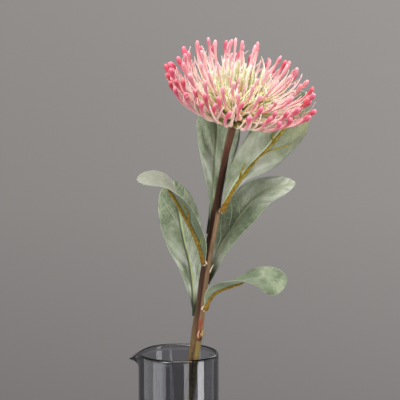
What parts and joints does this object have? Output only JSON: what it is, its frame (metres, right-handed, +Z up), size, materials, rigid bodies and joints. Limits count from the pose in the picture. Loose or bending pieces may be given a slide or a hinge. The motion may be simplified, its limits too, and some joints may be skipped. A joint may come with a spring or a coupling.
{
  "type": "pincushion flower in a glass vase",
  "caption": "Pink pincushion flower on a leafy woody stem, leaning in a tall narrow smoked-glass vase with a small pouring lip, open at the top.",
  "frame": {"origin": "middle of the vase's foot, on the surface it stands on", "axes": "+Z up, along the vase; -Y towards the side that the flower faces; the pouring lip points to -X"},
  "size_m": [0.1381, 0.1265, 0.4272],
  "materials": {
    "smoked_glass": "clear, polished",
    "bark": "matt bark",
    "leaf_green": "matt",
    "bract_green": "matt",
    "receptacle_wool": "matt",
    "petal_pink": "satin"
  },
  "bodies": {
    "root": {"vase": "smoked_glass", "stem": "bark", "axillary_bud": "bark", "leaf_upper_left": "leaf_green", "leaf_upper_right": "leaf_green", "leaf_middle_right": "leaf_green", "leaf_middle_left": "leaf_green", "leaf_lower_left": "leaf_green", "leaf_lower_right": "leaf_green", "receptacle": "receptacle_wool", "bract_cup": "bract_green", "florets_whorl_1": "petal_pink", "florets_whorl_2": "petal_pink", "florets_whorl_3": "petal_pink", "florets_whorl_4": "petal_pink", "florets_whorl_5": "petal_pink", "florets_centre": "petal_pink"}
  },
  "joints": []
}
